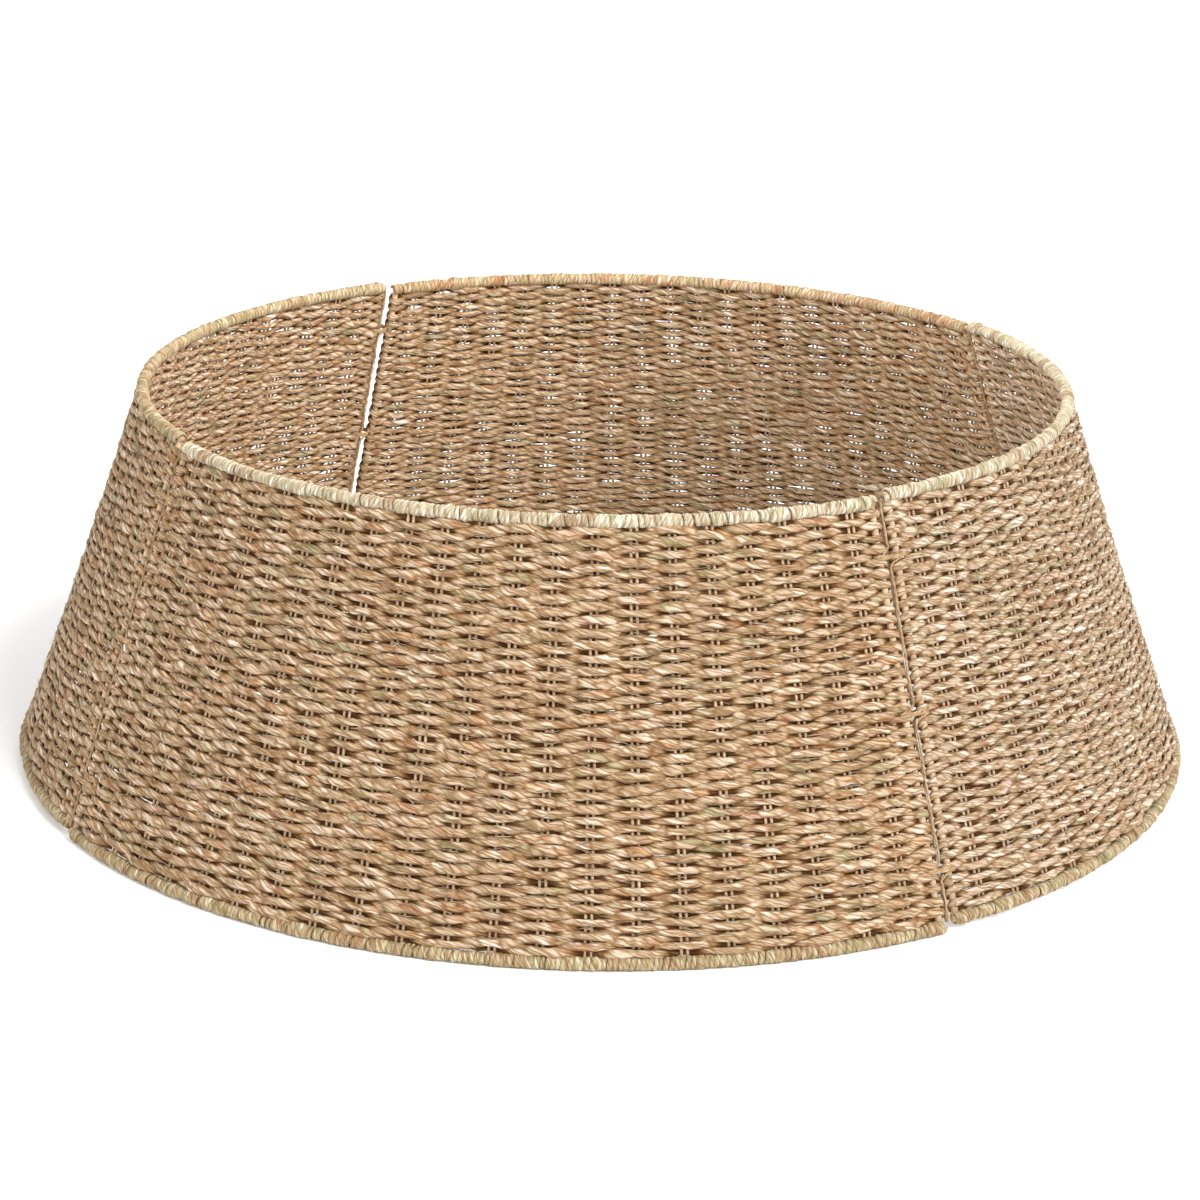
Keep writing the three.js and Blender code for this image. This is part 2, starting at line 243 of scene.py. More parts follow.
# Woven rows.
# Dry seagrass, twisted of two plies into strands a little over three millimetres thick. Each strand passes
# before one stake and behind the next, turns round the side wire and comes back along the next row.
ROW_PAIRS = 34
WEAVE_EDGE = 3.7
STEPS_PER_BAY = 10
STRAND_SIDES = 8
TURN_BACK_STEPS = 5
TURN_BACK_REACH = {"front": (3.5, 3.5), "right": (3.5, 3.5), "back": (3.5, 2.9), "left": (2.9, 3.5)}
OVER_STAKE, CREST_POWER = 1.8, 1.45
THICK_BETWEEN, THICK_OVER = 1.65, 1.4
HALF_WIDE, BESIDE_STAKE = 2.3, 0.38
TWIST, PLIES, PLY_SWELL = 21.0, 2, 0.10
SKIN_ROUGH, SKIN_ROUGHEST = 0.08, 0.14
# What wanders along the rows, as (how much, over how many bays).
GROUP_LEAN, ROW_DRIFT, ROW_WAVER = (0.6, 2.0), (0.30, 1.3), (0.25, 0.5)
GROUP_SLACK, SWELL_DRIFT, SWELL_WAVER = (0.07, 3.0), (0.14, 1.1), (0.13, 0.3)
CREST_DRIFT = (0.14, 1.0)
FURTHEST_DRIFT, THINNEST = 1.8, 0.82
GROUP = 4
# Painted shade in crevices: the share of the strand's furthest way out at which a point counts as fully open,
# and the share taken off before that.
PAINTED_SHADE_OPEN_AT, PAINTED_SHADE_OFFSET = 0.70, 0.2
ROW_SEED, LOT_SEED = 11, 100
HALVES = {"lower": slice(0, ROW_PAIRS // 2), "upper": slice(ROW_PAIRS // 2, ROW_PAIRS)}


def eased(share):
    """An S from 0 to 1: three times the square less twice the cube."""
    return share * share * (3 - 2 * share)


def drift(dice, rows, q, spread, reach):
    """Smooth random drift along the rows: one value every reach bays, eased from each to the next. The values
    are normal with the given spread, and none goes further than FURTHEST_DRIFT times that."""
    knots = dice.normal(0, 1, (rows, int(q.max() / reach) + 2))
    knots = spread * np.clip(knots, -FURTHEST_DRIFT, FURTHEST_DRIFT)
    at = np.floor(q / reach).astype(int)
    share = eased(q / reach - at)
    return knots[:, at] * (1 - share) + knots[:, at + 1] * share


def woven_rows(quarter, base, turn_back, seed):
    """One panel's rows, two to a closed loop. q counts bays along the row: a strand stands out of the wall by
    OVER_STAKE cos(pi q), its crests narrowed by a power, and by the opposite in the rows above and below. It
    is thinner over a stake and widest beside it. Groups of loops lean and slacken together, each loop drifts
    up and down and swells by itself, its plies wind round it at TWIST turns a metre, and its skin is rough.
    At both ends a half circle round the side wire leads from one row to the next. How openly a point lies is
    its way out of the wall as a share of the strand's furthest there, eased; by it the strand finish paints
    shade into the colour, darkest deep in the wall."""
    dice = np.random.default_rng(seed)
    go = np.linspace(0, BAYS, BAYS * STEPS_PER_BAY + 1)
    bend = np.linspace(0, math.pi, TURN_BACK_STEPS + 2)[1:-1]
    none = np.zeros_like(bend)
    q = np.concatenate([go, none + BAYS, go[::-1], none])
    way = np.concatenate([go, none + BAYS, 2 * BAYS - go[::-1], none + 2 * BAYS])
    strand = np.concatenate([np.ones_like(go), np.cos(bend), -np.ones_like(go), -np.cos(bend)])
    weave = np.cos(math.pi * go)
    swing = np.concatenate([weave, np.cos(bend), -weave[::-1], -np.cos(bend)])
    reach = np.concatenate([0 * go, np.sin(bend), 0 * go, -np.sin(bend)])
    beyond = np.where(q > 0, turn_back[1], turn_back[0]) * reach
    pair = (SLOPE - 2 * WEAVE_EDGE) / ROW_PAIRS
    count = np.arange(ROW_PAIRS)
    row = base + WEAVE_EDGE + pair * (count[:, None] + 0.5)
    inset = QUARTER / 2 - side_azimuth(SIDE_WIRE_INSET, row)

    def by_group(spread, bays):
        """Drift of whole groups of loops, passed on evenly from each group to the next one up."""
        knots = drift(dice, ROW_PAIRS // GROUP + 2, q, spread, bays)
        share = (count % GROUP / GROUP)[:, None]
        return knots[count // GROUP] * (1 - share) + knots[count // GROUP + 1] * share

    def by_loop(spread, bays):
        """Drift of each loop by itself, out along one row and back along the next."""
        return drift(dice, ROW_PAIRS, way, spread, bays)

    lean = by_group(*GROUP_LEAN)
    slack = by_group(*GROUP_SLACK)
    up = row + lean + pair / 4 * strand + by_loop(*ROW_DRIFT) + by_loop(*ROW_WAVER)
    azimuth = BAY * q - QUARTER / 2
    azimuth = azimuth + np.maximum(0, 1 - q) * inset - np.maximum(0, q - BAYS + 1) * inset
    azimuth = azimuth + quarter * QUARTER
    swell = 1 + slack + by_loop(*SWELL_DRIFT) + by_loop(*SWELL_WAVER)
    swell = np.maximum(swell, THINNEST)
    thick = (THICK_BETWEEN + (THICK_OVER - THICK_BETWEEN) * np.cos(math.pi * q) ** 2) * swell
    wide = (HALF_WIDE + BESIDE_STAKE * np.sin(2 * math.pi * q) ** 2) * swell
    out = OVER_STAKE * np.sign(swing) * np.abs(swing) ** CREST_POWER * (1 + by_loop(*CREST_DRIFT))
    centre = on_wall(azimuth, beyond, out, up)
    steps = np.linalg.norm(np.diff(centre, axis=1, prepend=centre[:, :1]), axis=-1)
    along = np.cumsum(steps, axis=1)[..., None]
    turn = once_round(STRAND_SIDES)
    ply = 1 - PLY_SWELL * np.cos(PLIES * (turn + 2 * math.pi * TWIST * along))
    ply = ply + np.clip(dice.normal(0, SKIN_ROUGH, ply.shape), -SKIN_ROUGHEST, SKIN_ROUGHEST)
    away = thick[..., None] * ply * np.cos(turn)
    x = beyond[None, :, None] + away * reach[None, :, None]
    t = out[..., None] + away * strand[None, :, None]
    w = up[..., None] + wide[..., None] * ply * np.sin(turn)
    # Painted shade: points that lie deep in the wall get a darker colour.
    painted_lit_share = np.abs(t) / (np.abs(out) + thick)[..., None] / PAINTED_SHADE_OPEN_AT - PAINTED_SHADE_OFFSET
    return on_wall(azimuth[..., None], x, t, w), eased(np.clip(painted_lit_share, 0, 1))


# The strand's finish: patterns as (round the strand, along it a metre), then their share of tone and light.
# The light is painted into the colour: each blade's and fibre's random lightness, and painted shade at blade
# edges and deep in crevices.
BLADE_SCALE, FIBRE_SCALE, DRIFT_ROUND = (1.05, 85), (2.6, 120), 0.25
FIBRE_DETAIL, DRIFT_DETAIL = 4, 2
BATCH_SCALE, BATCH_DETAIL = 38, 1
LOT_SPACING = 170
TWIST_WAVERS, TWIST_WAVER = 130, 0.13
BATCH_TONE, BLADE_TONE, TONE_BACK = 0.2, 0.16, -0.18
BLADE_EDGE, BLADE_LIGHT = 0.20, (0.80, 1.12)
FIBRE_RANGE, FIBRE_LIGHT = (0.3, 0.7), (0.62, 1.20)
# Painted shade: the share of light left in the colour deep down in crevices.
PAINTED_DEEP_LIGHT = 0.22
SHADE_POWERS = (1.0, 1.34, 1.85)
STRAND_ROUGHNESS = (0.57, 0.84)
BUMP_STRENGTH, BUMP_DEPTH = 0.75, 0.0004
CROWN_HEIGHT, FIBRE_HEIGHT, BLADE_HEIGHT, BLADE_SHOULDER = 0.5, 0.3, 0.6, 0.3
MIX_FIRST, MIX_SECOND, MIXED = 6, 7, 2  # places of the colour sockets on a mix
STRAND_TONES = [
    (0.24, (0.32, 0.31, 0.19)), (0.33, (0.45, 0.39, 0.265)), (0.40, (0.47, 0.355, 0.245)),
    (0.47, (0.54, 0.425, 0.32)), (0.53, (0.50, 0.385, 0.275)), (0.57, (0.63, 0.535, 0.43)),
    (0.61, (0.48, 0.345, 0.235)), (0.65, (0.41, 0.24, 0.16)), (0.69, (0.53, 0.365, 0.20)),
    (0.75, (0.64, 0.595, 0.515))]
# A lighter, less saturated copy of the strand colours for the right panel: painted light, for the brighter
# light on the side that faces the broad lamp.
LIT_SIDE_SHARE, LIT_SIDE_LIFT = 0.85, 0.11
LIT_SIDE_TONES = [
    (at, tuple(LIT_SIDE_SHARE * part + LIT_SIDE_LIFT for part in tone)) for at, tone in STRAND_TONES]


def seagrass(name, stops, twist, painted_edge_light, drifts):
    """Dry seagrass strand. Its plies and its long flat blades wind round it at twist turns a metre. Colour
    goes through stops, drifts times a metre, and differs from blade to blade and over the panel. Blade edges
    lie lower, and the colour is painted darker there, to the share of the light given for the edges, as
    painted shade in the creases between blades. Crevices between strands get painted shade too, down to a
    small share of the light, by how openly each point lies. Less light is warmer: each part of the colour has
    its own power of it, so the painted shade, and the darker blades and fibres, turn warm brown. Fine fibres
    run along the blades. What follows the strand is drawn on a cylinder round it, so that it closes."""
    material, tree, shader = matt_finish(name)
    link = tree.links.new

    def maths(operation, *values):
        """The outcome of one operation on numbers and earlier outcomes."""
        node = tree.nodes.new("ShaderNodeMath")
        node.operation = operation
        for socket, value in zip(node.inputs, values):
            if isinstance(value, (int, float)):
                socket.default_value = value
            else:
                link(value, socket)
        return node.outputs["Value"]

    def carried(attribute):
        """A number that the mesh carries at each of its points."""
        node = tree.nodes.new("ShaderNodeAttribute")
        node.attribute_name = attribute
        return node.outputs["Fac"]

    strand = tree.nodes.new("ShaderNodeUVMap")
    strand.uv_map = "strand"
    parts = tree.nodes.new("ShaderNodeSeparateXYZ")
    link(strand.outputs["UV"], parts.inputs["Vector"])
    around, along = parts.outputs["X"], parts.outputs["Y"]
    which = maths("MULTIPLY", carried("lot"), LOT_SPACING)
    waver = tree.nodes.new("ShaderNodeTexNoise")
    waver.noise_dimensions = "1D"
    waver.inputs["Scale"].default_value = 1
    link(maths("MULTIPLY_ADD", along, TWIST_WAVERS, which), waver.inputs["W"])
    wound = maths("MULTIPLY_ADD", along, twist, around)
    wound = maths("MULTIPLY_ADD", waver.outputs["Fac"], TWIST_WAVER, wound)
    angle = maths("MULTIPLY", wound, 2 * math.pi)
    round_x, round_y = maths("COSINE", angle), maths("SINE", angle)
    ply = maths("FRACT", maths("MULTIPLY", wound, PLIES))
    crown = maths("MULTIPLY", maths("MULTIPLY", ply, maths("SUBTRACT", 1, ply)), 4)

    def place(round_scale, along_scale):
        """A point of the cylinder round the wound strand, each strand's in a stretch of its own."""
        where = tree.nodes.new("ShaderNodeCombineXYZ")
        link(maths("MULTIPLY", round_x, round_scale), where.inputs["X"])
        link(maths("MULTIPLY", round_y, round_scale), where.inputs["Y"])
        link(maths("MULTIPLY_ADD", along, along_scale, which), where.inputs["Z"])
        return where.outputs["Vector"]

    blades = place(*BLADE_SCALE)

    def blade_cells(feature, output):
        """The strand's skin parted into blades, each the points that lie nearest to one random middle."""
        node = tree.nodes.new("ShaderNodeTexVoronoi")
        node.feature = feature
        node.inputs["Scale"].default_value = 1
        link(blades, node.inputs["Vector"])
        return node.outputs[output]

    edge = blade_cells("DISTANCE_TO_EDGE", "Distance")
    own = tree.nodes.new("ShaderNodeSeparateColor")
    link(blade_cells("F1", "Color"), own.inputs["Color"])
    own_tone, own_light = own.outputs["Red"], own.outputs["Green"]
    patch = noise(tree, place(DRIFT_ROUND, drifts), 1, DRIFT_DETAIL)
    fibre = noise(tree, place(*FIBRE_SCALE), 1, FIBRE_DETAIL)
    on_panel = tree.nodes.new("ShaderNodeTexCoord")
    batch = noise(tree, on_panel.outputs["Object"], BATCH_SCALE, BATCH_DETAIL)

    tone = maths("MULTIPLY_ADD", own_tone, BLADE_TONE, TONE_BACK)
    tone = maths("ADD", patch, maths("MULTIPLY_ADD", batch, BATCH_TONE, tone))
    # Painted shade at the blade edges, times each blade's own random lightness.
    light = maths(
        "MULTIPLY", remap(tree, edge, 0.0, BLADE_EDGE, painted_edge_light, 1.0),
        remap(tree, own_light, 0.0, 1.0, *BLADE_LIGHT))
    light = maths("MULTIPLY", light, remap(tree, fibre, *FIBRE_RANGE, *FIBRE_LIGHT))
    # Painted shade: the colour darkens where a point lies deep between strands.
    painted_crevice_light = maths("MULTIPLY_ADD", carried("painted_lit_share"), 1 - PAINTED_DEEP_LIGHT, PAINTED_DEEP_LIGHT)
    light = maths("MULTIPLY", light, painted_crevice_light)
    # Darker colour turns warmer, so the painted shade comes out warm brown.
    warm = tree.nodes.new("ShaderNodeCombineXYZ")
    for socket, power in zip(warm.inputs, SHADE_POWERS):
        link(maths("POWER", light, power), socket)
    shaded = tree.nodes.new("ShaderNodeMix")
    shaded.data_type, shaded.blend_type = "RGBA", "MULTIPLY"
    shaded.inputs["Factor"].default_value = 1
    link(toned(tree, tone, stops), shaded.inputs[MIX_FIRST])
    link(warm.outputs["Vector"], shaded.inputs[MIX_SECOND])
    link(shaded.outputs[MIXED], shader.inputs["Base Color"])
    link(remap(tree, fibre, 0.0, 1.0, *STRAND_ROUGHNESS), shader.inputs["Roughness"])

    bump = tree.nodes.new("ShaderNodeBump")
    bump.inputs["Strength"].default_value = BUMP_STRENGTH
    bump.inputs["Distance"].default_value = BUMP_DEPTH
    height = remap(tree, edge, 0.0, BLADE_SHOULDER, 0.0, BLADE_HEIGHT)
    height = maths("MULTIPLY_ADD", crown, CROWN_HEIGHT, height)
    link(maths("MULTIPLY_ADD", fibre, FIBRE_HEIGHT, height), bump.inputs["Height"])
    link(bump.outputs["Normal"], shader.inputs["Normal"])
    return material


seagrass_finish = seagrass("woven_seagrass_strand", STRAND_TONES, TWIST, painted_edge_light=0.48, drifts=30)
# The right panel's strands are painted lighter, for the light that falls on that side.
lit_side_finish = seagrass("painted_lit_seagrass_strand", LIT_SIDE_TONES, TWIST, painted_edge_light=0.48, drifts=30)
STRAND_FINISH = {
    "front": seagrass_finish, "right": lit_side_finish, "back": seagrass_finish, "left": seagrass_finish}
for panel, (quarter, base) in PANELS.items():
    rows, painted_lit_share = woven_rows(quarter, base, TURN_BACK_REACH[panel], ROW_SEED + quarter)
    for part, (half, some) in enumerate(HALVES.items()):
        name = f"{panel}_woven_rows_{half}"
        mesh = strand_mesh(name, [(rows[some], True, painted_lit_share[some])], LOT_SEED + 2 * quarter + part)
        put(name, mesh, STRAND_FINISH[panel], f"{panel}_panel", "woven_seagrass", f"{panel}_weave")

# Loose blades.
# Torn ends of the strands' own dry blades, which have sprung out of the twist all over both faces of the
# panels. Each is still held at one end, in the crest of its strand over a stake.
LOOSE_OUTSIDE, LOOSE_INSIDE = 560, 280
LOOSE_LENGTH, LOOSE_LIFT, LOOSE_HALF_WIDE = (6.0, 18.0), (0.3, 2.2), (0.3, 0.6)
LOOSE_STEPS, LOOSE_SIDES = 5, 3
LOOSE_FROM_SEAM = 2
LOOSE_OFF_STAKE, LOOSE_OFF_ROW = 3.0, 0.8
LOOSE_ROOT = 0.5
LOOSE_SLANT, LOOSE_CURL = (-0.12, 0.22), 2.0
LOOSE_TAPER, LOOSE_THIN = 0.75, 0.4
LOOSE_SEED = 71


def loose_blades(quarter, base, seed):
    """Narrow three-sided slips. Each starts in a strand's crest over a stake, runs along the row at a small
    slant, lifts off with the square of its run, curls up or down with the cube, and tapers all the way."""
    dice = np.random.default_rng(seed)
    count = LOOSE_OUTSIDE + LOOSE_INSIDE
    side = np.where(np.arange(count) < LOOSE_OUTSIDE, 1, -1)[:, None]
    stake = dice.integers(LOOSE_FROM_SEAM, BAYS - LOOSE_FROM_SEAM + 1, count)
    row = 2 * dice.integers(1, ROW_PAIRS - 1, count) + (stake + (side[:, 0] < 0)) % 2
    w0 = base + WEAVE_EDGE + (SLOPE - 2 * WEAVE_EDGE) * (row + 0.5) / (2 * ROW_PAIRS)
    w0 = w0 + dice.normal(0, LOOSE_OFF_ROW, count)
    azimuth = quarter * QUARTER - QUARTER / 2 + BAY * stake
    azimuth = azimuth + dice.normal(0, LOOSE_OFF_STAKE, count) / BOTTOM_RADIUS
    run = np.linspace(0, 1, LOOSE_STEPS)
    length = dice.uniform(*LOOSE_LENGTH, (count, 1)) * dice.choice([-1, 1], (count, 1))
    x = length * run
    t = OVER_STAKE + THICK_OVER - LOOSE_ROOT + dice.uniform(*LOOSE_LIFT, (count, 1)) * run**2
    w = w0[:, None] + length * dice.normal(*LOOSE_SLANT, (count, 1)) * run
    w = w + dice.normal(0, LOOSE_CURL, (count, 1)) * run**3
    turn = once_round(LOOSE_SIDES)
    wide = (dice.uniform(*LOOSE_HALF_WIDE, (count, 1)) * (1 - LOOSE_TAPER * run))[..., None]
    w = w[..., None] + wide * np.cos(turn)
    t = (side * t)[..., None] + LOOSE_THIN * wide * np.sin(turn)
    return on_wall(azimuth[:, None, None], x[..., None], t, w)


for panel, (quarter, base) in PANELS.items():
    name = f"{panel}_loose_blades"
    slips = loose_blades(quarter, base, LOOSE_SEED + quarter)
    mesh = strand_mesh(name, [(slips, False, 1.0)], LOOSE_SEED + quarter)
    put(name, mesh, STRAND_FINISH[panel], f"{panel}_panel", "woven_seagrass", f"{panel}_weave")

# Rim wrappings.
# Paler seagrass wound turn by turn round each rim wire, close enough to hide it, with an uneven hand: some
# turns stand a little proud or lean on the next.
TURN_PITCH, TURN_STEPS = 2.9, 12
WRAP_SIDES = 6
WRAP_CORE, WRAP_HALF_WIDE, WRAP_HALF_THICK = 2.9, 2.0, 0.95
WRAP_PAST_SIDE = 1.5
TURN_LOOSE, TURN_ASTRAY, TURN_SWELL = 0.09, 0.5, (0.68, 1.28)
# Painted shade round each turn: full light on the face away from the wire, less where it lies on the wire.
WRAP_PAINTED_LIGHT, WRAP_PAINTED_LIGHT_SWING = 0.75, 0.25
OFF_FLOOR = 0.0002
# Each rim's height above the lower one, the weave's side of it, +1 up, and its seed.
RIMS = {"top": (SLOPE, -1, 31), "bottom": (0.0, 1, 41)}
WRAP_TWIST, WRAP_DRIFTS = 60, 6
PALE_WRAP_TONES = [
    (0.32, (0.45, 0.45, 0.32)), (0.42, (0.61, 0.57, 0.45)), (0.50, (0.68, 0.66, 0.57)),
    (0.58, (0.59, 0.54, 0.43)), (0.66, (0.47, 0.38, 0.28))]
TAWNY_WRAP_TONES = [
    (0.32, (0.42, 0.38, 0.24)), (0.42, (0.50, 0.40, 0.27)), (0.50, (0.58, 0.47, 0.34)),
    (0.58, (0.46, 0.32, 0.21)), (0.66, (0.44, 0.26, 0.16))]
STRAW_WRAP_TONES = [
    (0.28, (0.33, 0.32, 0.20)), (0.40, (0.47, 0.42, 0.28)), (0.50, (0.54, 0.47, 0.34)),
    (0.60, (0.45, 0.36, 0.24)), (0.70, (0.42, 0.29, 0.19))]


def rim_wrapping(quarter, w, towards, seed):
    """One strand wound along a rim as a helix: at turn angle p it is WRAP_CORE cos p out of the wall and
    WRAP_CORE sin p towards the weave. Its distance from the wire, its place along the rim and its width
    wander from turn to turn, and it lies flat where it would go into the floor. Its colour gets painted shade
    on the side of each turn that lies on the wire."""
    dice = np.random.default_rng(seed)
    end = side_azimuth(SIDE_WIRE_INSET - WRAP_PAST_SIDE, w)
    radius = BOTTOM_RADIUS - w * math.sin(LEAN)
    turns = int(round(2 * end * radius / TURN_PITCH))
    steps = np.arange(turns * TURN_STEPS + 1)
    p = 2 * math.pi * steps[:, None] / TURN_STEPS
    count = steps / TURN_STEPS
    knots = np.arange(turns + 2)
    loose = np.interp(count, knots, dice.normal(1, TURN_LOOSE, turns + 2))
    astray = np.interp(count, knots, dice.normal(0, TURN_ASTRAY, turns + 2))
    swell = np.interp(count, knots, dice.uniform(*TURN_SWELL, turns + 2))[:, None]
    azimuth = quarter * QUARTER + (-end + 2 * end * count / turns + astray / radius)[:, None]
    turn = once_round(WRAP_SIDES)
    away = (WRAP_CORE * loose)[:, None] + WRAP_HALF_THICK * swell * np.cos(turn)
    x = WRAP_HALF_WIDE * swell * np.sin(turn)
    grid = on_wall(azimuth, x, away * np.cos(p), w + towards * away * np.sin(p))
    grid[..., 2] = np.maximum(grid[..., 2], OFF_FLOOR)
    # Painted shade: the face of the strand towards the wire is darker.
    painted_lit_share = np.broadcast_to(WRAP_PAINTED_LIGHT + WRAP_PAINTED_LIGHT_SWING * np.cos(turn), away.shape)
    return [(grid[None], False, painted_lit_share[None])]


pale_wrap = seagrass("pale_top_wrapping", PALE_WRAP_TONES, WRAP_TWIST, painted_edge_light=0.7, drifts=WRAP_DRIFTS)
tawny_wrap = seagrass("tawny_top_wrapping", TAWNY_WRAP_TONES, WRAP_TWIST, painted_edge_light=0.65, drifts=WRAP_DRIFTS)
straw_wrap = seagrass("straw_wrapping", STRAW_WRAP_TONES, WRAP_TWIST, painted_edge_light=0.6, drifts=WRAP_DRIFTS)
WRAP_FINISH = {
    "top": {"front": pale_wrap, "right": pale_wrap, "back": tawny_wrap, "left": straw_wrap},
    "bottom": dict.fromkeys(PANELS, straw_wrap)}
for panel, (quarter, base) in PANELS.items():
    for rim, (height, towards, seed) in RIMS.items():
        name = f"{panel}_{rim}_wrapping"
        wound = rim_wrapping(quarter, base + height, towards, seed + quarter)
        mesh = strand_mesh(name, wound, seed + quarter)
        put(name, mesh, WRAP_FINISH[rim][panel], f"{panel}_panel", "rim_wrap", f"{panel}_{rim}_binding")

# Lacings.
# Thin pale twine, tied round the neighbouring side wires of two panels at three heights and carried along
# the seam between the ties. At the back left the loops hold on the left panel alone, so the ring can open.
TWINE, TWINE_SIDES, TWINE_FINE = 0.75, 7, 3
TWINE_FROM, TWINE_TO = 2.0, SLOPE + 6
TIE_HEIGHTS = (30.0, SLOPE / 2, SLOPE - 30.0)
TIE_OUT, TIE_TURNS, TIE_RISE, TIE_POINTS = 3.3, 2, 1.3, 8
RUN_POINTS, RUN_CLEAR = 10, 5
RUN_ASTRAY, RUN_UNEVEN, TIE_UNEVEN = 0.2, 0.25, 0.12
SECTION_START = (0.31, 0.52, 0.80)
TWINE_TONES = [(0.3, (0.42, 0.30, 0.17)), (0.5, (0.58, 0.44, 0.29)), (0.7, (0.47, 0.32, 0.19))]
TWINE_TWIST = 120
LACING_SEED = 51
BOTH_PANELS, ONE_PANEL = (11.2, (0.1, 1.3)), (4.6, (5.0, 4.4))
# Each seam's place in quarter turns, the side of it that its holder is on, the holder, how far the ties reach
# over from the holder's side wire, and where the twine runs between ties: off the seam and out of the wall.
LACINGS = {
    "front_right_lacing": (0, -1, "front_panel", *BOTH_PANELS),
    "back_right_lacing": (1, -1, "right_panel", *BOTH_PANELS),
    "back_left_closing_loops": (2, 1, "left_panel", *ONE_PANEL),
    "front_left_lacing": (3, 1, "front_panel", *BOTH_PANELS),
}


def lacing_path(holder, reach, groove, side, seed):
    """The twine's way up a seam in (x, t, w): at the place groove beside the turned-back edges, on the outer
    or inner side of the wall, and at each tie twice round the edges, as two half circles joined by straight
    lines, each point a little off its place."""
    dice = np.random.default_rng(seed)
    near, far = holder * SIDE_WIRE_INSET, holder * (SIDE_WIRE_INSET - reach)
    half = np.linspace(math.pi / 2, -math.pi / 2, TIE_POINTS)
    loop = np.concatenate([
        np.stack([far - holder * TIE_OUT * np.cos(half), TIE_OUT * np.sin(half)], -1),
        np.stack([near + holder * TIE_OUT * np.cos(half), -TIE_OUT * np.sin(half)], -1)])
    start = TWINE_FROM
    way = []
    for height in (*TIE_HEIGHTS, TWINE_TO):
        x = holder * groove[0] + dice.normal(0, RUN_ASTRAY, RUN_POINTS)
        t = side * (groove[1] + dice.normal(0, RUN_UNEVEN, RUN_POINTS))
        way.append(np.column_stack([x, t, np.linspace(start, height - RUN_CLEAR, RUN_POINTS)]))
        if height in TIE_HEIGHTS:
            turns = np.tile(loop, (TIE_TURNS, 1)) * (1, side)
            rise = height + np.linspace(-TIE_RISE, TIE_RISE, len(turns))
            way.append(np.column_stack([turns, rise + dice.normal(0, TIE_UNEVEN, len(turns))]))
        start = height + RUN_CLEAR
    return np.concatenate(way)


def tube_along(path, radius, sides, fine):
    """A round tube along a smooth line through the path's points, a cubic from each to the next. Its section
    is set out from a fixed direction, and the turn which that gives from point to point is summed up and
    taken back, so that the tube doesn't wring."""
    at = np.linspace(0, len(path) - 1, fine * (len(path) - 1) + 1)
    k = np.clip(np.floor(at).astype(int), 0, len(path) - 2)
    f = (at - k)[:, None]
    slope = np.gradient(path, axis=0)
    line = ((2 * f**3 - 3 * f**2 + 1) * path[k] + (f**3 - 2 * f**2 + f) * slope[k]
            + (3 * f**2 - 2 * f**3) * path[k + 1] + (f**3 - f**2) * slope[k + 1])
    tangent = np.gradient(line, axis=0)
    tangent /= np.linalg.norm(tangent, axis=1, keepdims=True)
    normal = np.cross(tangent, SECTION_START)
    normal /= np.linalg.norm(normal, axis=1, keepdims=True)
    across = np.cross(tangent, normal)
    carried = normal[:-1] - tangent[1:] * np.sum(normal[:-1] * tangent[1:], axis=1, keepdims=True)
    wring = np.arctan2(np.sum(carried * across[1:], axis=1), np.sum(carried * normal[1:], axis=1))
    turn = (once_round(sides) + np.concatenate([[0], np.cumsum(wring)])[:, None])[..., None]
    return line[:, None] + radius * (np.cos(turn) * normal[:, None] + np.sin(turn) * across[:, None])


twine_finish = seagrass("pale_lacing_twine", TWINE_TONES, TWINE_TWIST, painted_edge_light=0.6, drifts=30)
for name, (quarter, holder, body, reach, groove) in LACINGS.items():
    ends = []
    for side in (1, -1):
        x, t, w = lacing_path(holder, reach, groove, side, LACING_SEED + 2 * quarter + side).T
        path = on_wall(QUARTER / 2 + quarter * QUARTER, x, t, w)
        tube = tube_along(path, TWINE * MILLIMETRE, TWINE_SIDES, TWINE_FINE)
        ends.append((tube[None], False, 1.0))
    mesh = strand_mesh(f"{name}_twine", ends, LACING_SEED + quarter)
    put(f"{name}_twine", mesh, twine_finish, body, "lacing_twine", name)

# Floor, light and camera.
# A plain pale floor in a room that is bright all round, with a high broad lamp on the right, a soft fill from
# the front left and a small lamp over the ring. Sizes in metres; the camera's own in the photograph's pixels.
FLOOR_HALF, FLOOR_TONE, FLOOR_ROUGHNESS = 12, (0.93, 0.93, 0.93, 1), 0.9
ROOM_TONE, ROOM_LIGHT = (1.0, 1.0, 1.0, 1), 0.95
OVERHEAD_PLACE, OVERHEAD_POWER, OVERHEAD_SIZE = (0, 0, 0.47), 5.0, 0.15
PHOTO_SIZE, FOCAL_LENGTH, SHIFT_X, SHIFT_Y = 1200, 3192.5, -3.4, -75.1
SENSOR = 36
AIM, DISTANCE = Vector((0, 0, 0.130)), 1.947
AZIMUTH, ELEVATION, ROLL = math.radians(13.1), math.radians(17.53), math.radians(0.75)

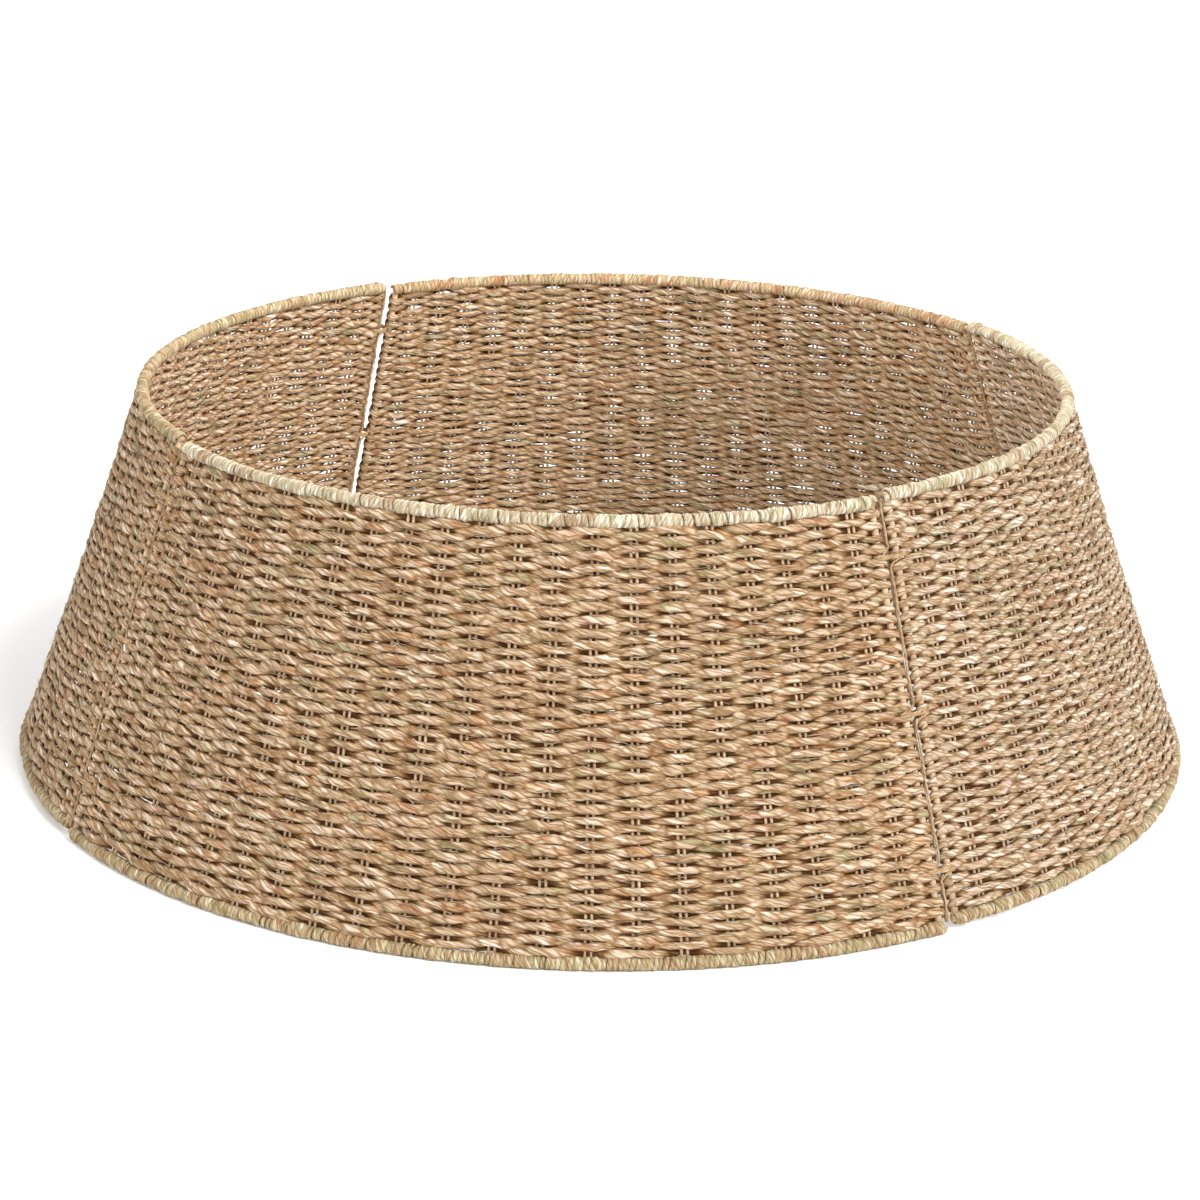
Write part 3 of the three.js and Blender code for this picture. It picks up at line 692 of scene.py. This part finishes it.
floor_mesh = bpy.data.meshes.new("floor")
corners = [(x * FLOOR_HALF, y * FLOOR_HALF, 0) for x, y in ((-1, -1), (1, -1), (1, 1), (-1, 1))]
floor_mesh.from_pydata(corners, [], [(0, 1, 2, 3)])
floor = bpy.data.objects.new("floor", floor_mesh)
bpy.context.collection.objects.link(floor)
pale = bpy.data.materials.new("pale_floor")
pale.use_nodes = True
paint = pale.node_tree.nodes["Principled BSDF"]
paint.inputs["Base Color"].default_value = FLOOR_TONE
paint.inputs["Roughness"].default_value = FLOOR_ROUGHNESS
floor_mesh.materials.append(pale)

world = bpy.data.worlds.new("soft_white_room")
bpy.context.scene.world = world
world.use_nodes = True
room = world.node_tree.nodes["Background"]
room.inputs["Color"].default_value = ROOM_TONE
room.inputs["Strength"].default_value = ROOM_LIGHT


def far_lamp(name, power, spread, direction):
    """A lamp far off, whose light comes along direction from a disc that is spread degrees wide."""
    light = bpy.data.lights.new(name, "SUN")
    light.energy, light.angle = power, math.radians(spread)
    lamp = bpy.data.objects.new(name, light)
    lamp.rotation_euler = Vector(direction).to_track_quat("-Z", "Y").to_euler()
    bpy.context.collection.objects.link(lamp)


far_lamp("broad_lamp", power=3.0, spread=25, direction=(-0.65, 0.31, -0.69))
far_lamp("soft_fill", power=1.25, spread=60, direction=(0.28, 0.93, -0.24))
bulb = bpy.data.lights.new("overhead_lamp", "POINT")
bulb.energy, bulb.shadow_soft_size = OVERHEAD_POWER, OVERHEAD_SIZE
overhead = bpy.data.objects.new("overhead_lamp", bulb)
overhead.location = OVERHEAD_PLACE
overhead.visible_camera = False
bpy.context.collection.objects.link(overhead)

bpy.context.scene.view_settings.view_transform = "Standard"
level = math.cos(ELEVATION)
away = Vector((math.sin(AZIMUTH) * level, -math.cos(AZIMUTH) * level, math.sin(ELEVATION)))
lens = bpy.data.cameras.new("camera")
lens.sensor_width = lens.sensor_height = SENSOR
lens.lens = SENSOR * FOCAL_LENGTH / PHOTO_SIZE
lens.shift_x, lens.shift_y = SHIFT_X / PHOTO_SIZE, SHIFT_Y / PHOTO_SIZE
camera = bpy.data.objects.new("camera", lens)
camera.matrix_world = (
    Matrix.Translation(AIM + away * DISTANCE) @ away.to_track_quat("Z", "Y").to_matrix().to_4x4()
    @ Matrix.Rotation(ROLL, 4, "Z"))
bpy.context.collection.objects.link(camera)
bpy.context.scene.camera = camera

bpy.context.view_layer.update()
